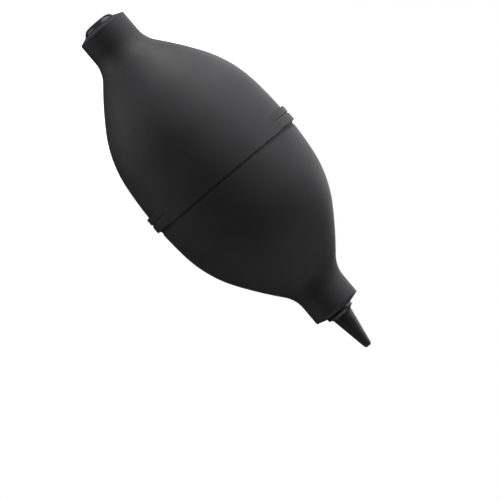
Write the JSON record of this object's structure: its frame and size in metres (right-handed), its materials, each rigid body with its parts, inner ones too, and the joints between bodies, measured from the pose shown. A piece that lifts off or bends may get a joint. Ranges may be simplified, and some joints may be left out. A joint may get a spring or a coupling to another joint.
{
  "type": "dust blower bulb",
  "caption": "Lemon-shaped rubber squeeze bulb with a one-way inlet valve in its tail neck and a slim push-fit air nozzle in its nose neck.",
  "frame": {"origin": "centre of the tail insert's outer face, which the blower stands on", "axes": "+Z along the blower's axis, from the tail valve to the nozzle tip; -Y is the side that the thumb presses; +Y is the side that the fingers press"},
  "size_m": [0.0586, 0.0568, 0.1395],
  "materials": {
    "rear_rubber": "soft matte black moulded rubber",
    "front_rubber": "soft matte black moulded rubber",
    "thumb_rubber": "soft matte black moulded rubber",
    "finger_rubber": "soft matte black moulded rubber",
    "valve_plastic": "glossy black moulded plastic",
    "valve_silicone": "translucent off-white silicone",
    "retainer_plastic": "natural white acetal",
    "nozzle_plastic": "satin black moulded plastic"
  },
  "bodies": {
    "bulb": {"rear_bulb_half": "rear_rubber", "front_bulb_half": "front_rubber", "valve_housing": "valve_plastic", "valve_retainer": "retainer_plastic"},
    "thumb_wall": {"thumb_grip_wall": "thumb_rubber"},
    "finger_wall": {"finger_grip_wall": "finger_rubber"},
    "disc": {"valve_disc": "valve_silicone"},
    "nozzle": {"nozzle": "nozzle_plastic"}
  },
  "joints": [
    {"name": "thumb_squeeze", "type": "slide", "parent": "bulb", "child": "thumb_wall", "axis": [0, 1, 0], "range_m": [0, 0.01], "stiffness_N_per_m": 1500},
    {"name": "finger_squeeze", "type": "slide", "parent": "bulb", "child": "finger_wall", "axis": [0, -1, 0], "range_m": [0, 0.01], "stiffness_N_per_m": 1500},
    {"name": "inlet_valve_lift", "type": "slide", "parent": "bulb", "child": "disc", "axis": [0, 0, 1], "range_m": [0, 0.0012]},
    {"name": "nozzle_pull_out", "type": "slide", "parent": "bulb", "child": "nozzle", "axis": [0, 0, 1], "range_m": [0, 0.011]}
  ],
  "couplings": [
    {"joint": "finger_squeeze", "follows": "thumb_squeeze", "ratio": 1}
  ]
}
